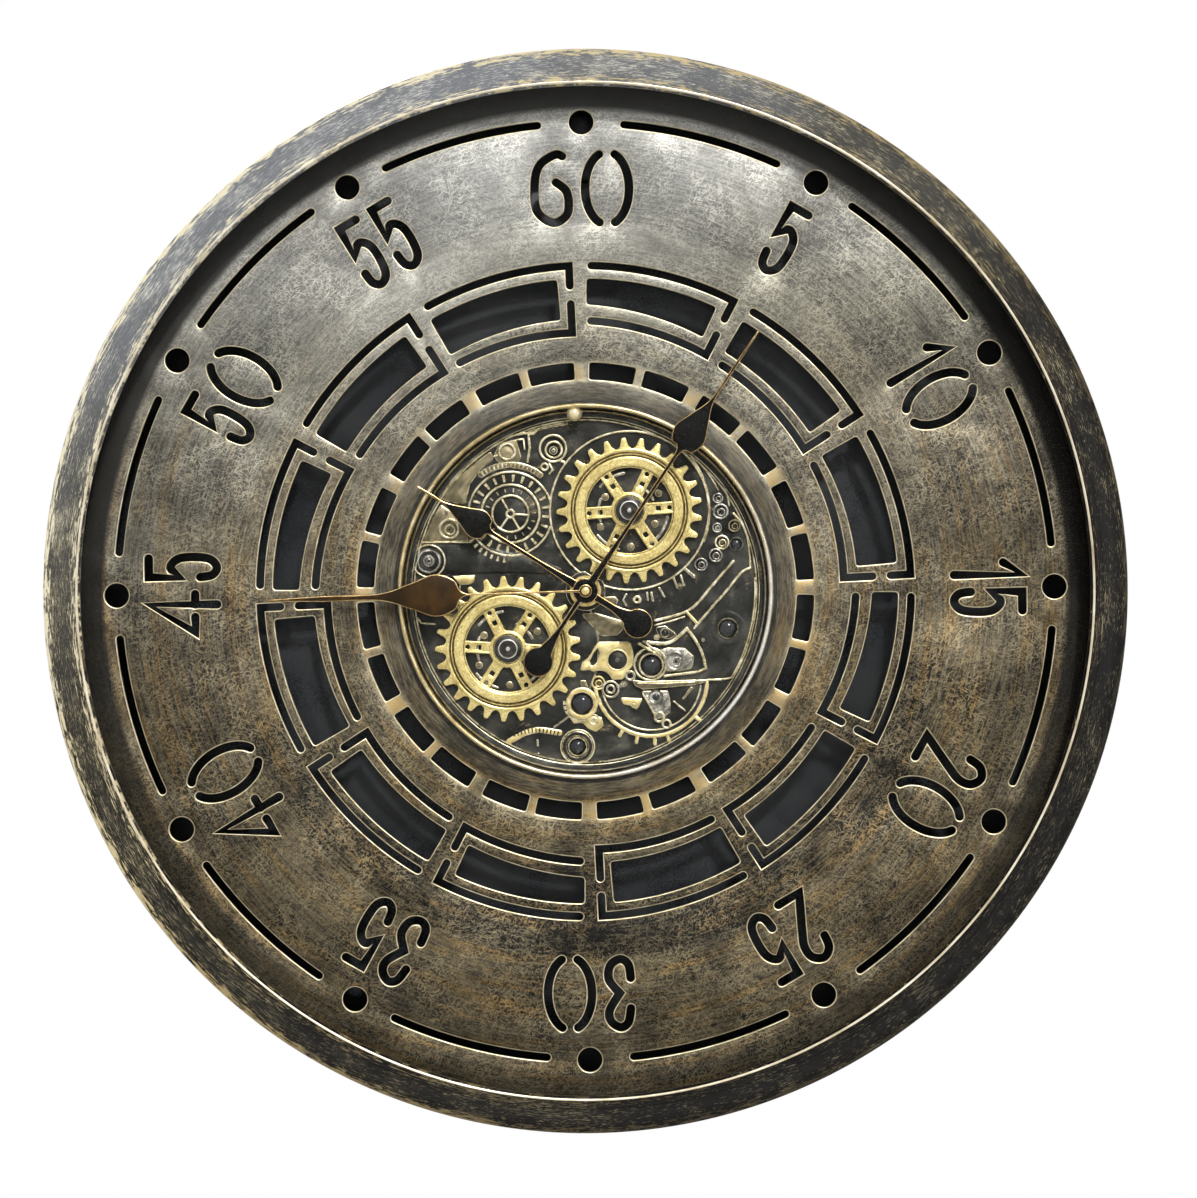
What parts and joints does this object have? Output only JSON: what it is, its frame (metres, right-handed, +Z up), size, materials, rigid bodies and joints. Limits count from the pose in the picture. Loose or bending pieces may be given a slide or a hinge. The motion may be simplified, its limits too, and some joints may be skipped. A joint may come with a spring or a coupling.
{
  "type": "gear wall clock",
  "caption": "Large round wall clock with a pierced metal dial, leaf hands, and two turning brass gears over a moulded movement relief in its open centre, under flat glass.",
  "frame": {"origin": "on the axis of the hands, in the plane of the wall that the rear rim rests on", "axes": "+X to the right of the dial, +Y into the wall, +Z up through 12 o'clock; the dial faces -Y"},
  "size_m": [0.6, 0.068, 0.6],
  "materials": {
    "frame_bronze": "antique bronze lacquer, brushed, worn at the edges",
    "dial_bronze": "dark bronze, radially brushed, gold wear at the cut edges",
    "bezel_bronze": "antique brass, satin",
    "relief_bronze": "moulded, dark bronze metallic paint with gold dry brushing",
    "gear_brass": "satin, lightly aged",
    "plain_brass": "polished",
    "steel": "zinc plated",
    "dark_steel": "dark gunmetal, satin",
    "hand_black": "near-black lacquer, satin",
    "hand_brown": "dark brown lacquer, satin",
    "black_plastic": "black, fine matt",
    "grey_plastic": "grey, matt",
    "white_plastic": "natural white acetal",
    "clear_glass": "clear flat mineral glass",
    "cell_wrap": "plain green shrink sleeve, no print",
    "red_wire": "soft insulation",
    "black_wire": "soft insulation"
  },
  "bodies": {
    "case": {"back_pan": "black_plastic", "battery_box": "black_plastic", "bezel_ring": "bezel_bronze", "bezel_stud": "plain_brass", "centre_nut": "plain_brass", "clock_cell": "cell_wrap", "dial_plate": "dial_bronze", "frame_ring": "frame_bronze", "frame_screw_1": "steel", "frame_screw_2": "steel", "frame_screw_3": "steel", "frame_screw_4": "steel", "gear_motor": "grey_plastic", "glass_lens": "clear_glass", "hanger_plate": "steel", "hanger_screw_1": "steel", "hanger_screw_2": "steel", "lens_spacer": "black_plastic", "lower_bush": "plain_brass", "module_housing": "grey_plastic", "module_screw_1": "steel", "module_screw_2": "steel", "module_screw_3": "steel", "motor_cell_1": "cell_wrap", "motor_cell_2": "cell_wrap", "motor_screw_1": "steel", "motor_screw_2": "steel", "movement_case": "black_plastic", "movement_cover": "black_plastic", "nut_washer": "plain_brass", "relief_plate": "relief_bronze", "upper_bush": "plain_brass", "wire_black": "black_wire", "wire_red": "red_wire"},
    "hour_works": {"hour_hand": "hand_black", "hour_pipe": "white_plastic"},
    "minute_works": {"minute_hand": "hand_black", "minute_pipe": "plain_brass"},
    "second_works": {"second_hand": "hand_brown", "second_cap": "plain_brass", "second_spindle": "steel"},
    "upper_gear_set": {"upper_gear": "gear_brass", "upper_shaft": "dark_steel", "upper_wheel": "white_plastic"},
    "lower_gear_set": {"lower_gear": "gear_brass", "lower_shaft": "dark_steel", "lower_wheel": "white_plastic"},
    "motor_drive": {"motor_pinion": "white_plastic", "motor_shaft": "steel"},
    "knob": {"setting_knob": "grey_plastic"},
    "lid": {"battery_lid": "black_plastic"},
    "switch": {"switch_slider": "white_plastic"}
  },
  "joints": [
    {"name": "minute_spin", "type": "hinge", "parent": "case", "child": "minute_works", "pos_m": [0, -0.045, 0], "axis": [0, 1, 0], "continuous": true},
    {"name": "hour_spin", "type": "hinge", "parent": "case", "child": "hour_works", "pos_m": [0, -0.045, 0], "axis": [0, 1, 0], "continuous": true},
    {"name": "second_spin", "type": "hinge", "parent": "case", "child": "second_works", "pos_m": [0, -0.045, 0], "axis": [0, 1, 0], "continuous": true},
    {"name": "knob_spin", "type": "hinge", "parent": "case", "child": "knob", "pos_m": [0, -0.003, 0.01], "axis": [0, 1, 0], "continuous": true},
    {"name": "upper_gear_spin", "type": "hinge", "parent": "case", "child": "upper_gear_set", "pos_m": [0.0248, -0.033, 0.0446], "axis": [0, 1, 0], "continuous": true},
    {"name": "lower_gear_spin", "type": "hinge", "parent": "case", "child": "lower_gear_set", "pos_m": [-0.0435, -0.033, -0.0318], "axis": [0, 1, 0], "continuous": true},
    {"name": "motor_spin", "type": "hinge", "parent": "case", "child": "motor_drive", "pos_m": [-0.0429, -0.025, 0.03639], "axis": [0, 1, 0], "continuous": true},
    {"name": "lid_slide", "type": "slide", "parent": "case", "child": "lid", "axis": [0, 0, -1], "range_m": [0, 0.034]},
    {"name": "switch_slide", "type": "slide", "parent": "case", "child": "switch", "axis": [1, 0, 0], "range_m": [0, 0.004]}
  ],
  "couplings": [
    {"joint": "hour_spin", "follows": "minute_spin", "ratio": 0.083333},
    {"joint": "second_spin", "follows": "minute_spin", "ratio": 60},
    {"joint": "knob_spin", "follows": "minute_spin", "ratio": -3},
    {"joint": "lower_gear_spin", "follows": "upper_gear_spin", "ratio": 1},
    {"joint": "motor_spin", "follows": "upper_gear_spin", "ratio": -1.5}
  ]
}
